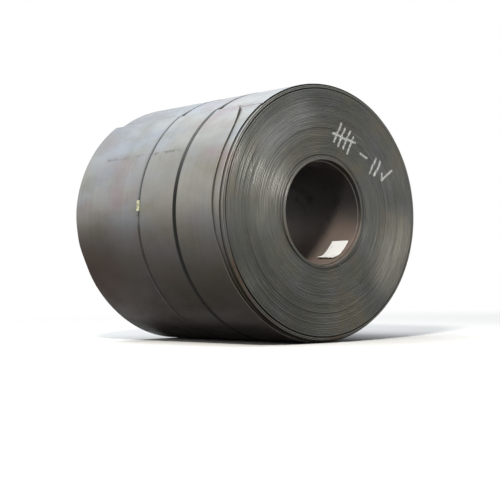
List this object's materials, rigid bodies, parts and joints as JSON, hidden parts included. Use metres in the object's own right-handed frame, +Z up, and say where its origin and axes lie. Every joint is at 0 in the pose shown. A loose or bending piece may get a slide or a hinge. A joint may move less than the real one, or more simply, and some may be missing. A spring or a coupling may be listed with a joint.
{
  "type": "steel coil",
  "caption": "Coil of hot rolled steel strip lying on its side, with its bore open and two steel straps.",
  "frame": {"origin": "middle of the coil's box, on the floor it lies on", "axes": "+Y along the coil's axis, away from the end that shows; +Z up"},
  "size_m": [1.9284, 1.9372, 1.9246],
  "materials": {
    "mill_scale": "satin",
    "strap_dark": "satin",
    "strap_bare": "satin",
    "label_paper": "matte"
  },
  "bodies": {
    "root": {"wound_coil": "mill_scale", "strap_front": "strap_dark", "strap_front_seal": "strap_dark", "strap_rear": "strap_bare", "strap_rear_seal": "strap_bare", "bore_label": "label_paper"}
  },
  "joints": []
}
